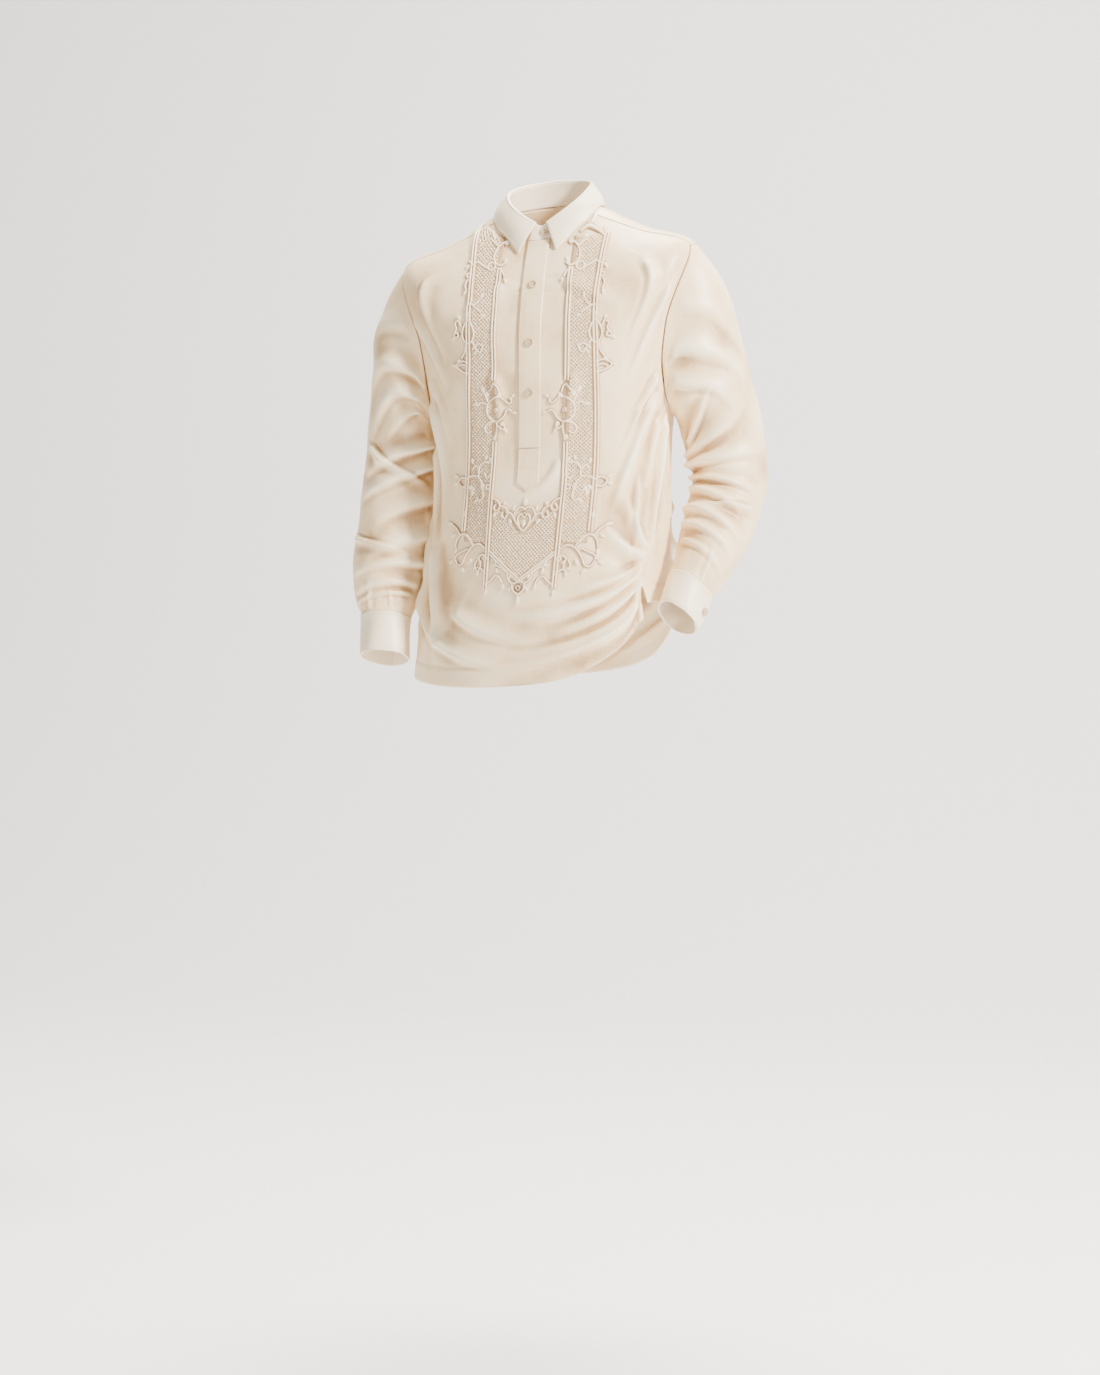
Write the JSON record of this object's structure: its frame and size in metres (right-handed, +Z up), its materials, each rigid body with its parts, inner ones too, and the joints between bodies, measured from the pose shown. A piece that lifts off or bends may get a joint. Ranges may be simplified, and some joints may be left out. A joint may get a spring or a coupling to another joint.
{
  "type": "barong tagalog shirt",
  "caption": "Long-sleeved pullover shirt of thin stiff cloth with a pointed collar, half placket, cuffs and openwork embroidered bands, worn, one wrist at the hip.",
  "frame": {"origin": "middle of the neck's base, between the two points where the shoulder line meets the collar", "axes": "+Z up, -Y out of the chest, +X towards the wearer's left"},
  "size_m": [0.5857, 0.268, 0.7048],
  "materials": {
    "body_cloth": "silky plain weave, warm cream",
    "pale_cloth": "firm plain weave, pale cream",
    "openwork": "drawn-thread openwork with raised cream embroidery",
    "button": "polished shell"
  },
  "bodies": {
    "root": {"front": "body_cloth", "back": "body_cloth", "yoke": "body_cloth", "hem_front": "body_cloth", "hem_back": "body_cloth", "sleeve_right": "body_cloth", "sleeve_left": "body_cloth", "cuff_right": "pale_cloth", "cuff_left": "pale_cloth", "collar_stand": "pale_cloth", "collar_fall": "pale_cloth", "placket": "body_cloth", "placket_tab": "body_cloth", "calado_left": "openwork", "calado_right": "openwork", "calado_base": "openwork", "button_collar": "button", "button_1": "button", "button_2": "button", "button_3": "button", "button_cuff_right": "button", "button_cuff_left": "button"}
  },
  "joints": []
}
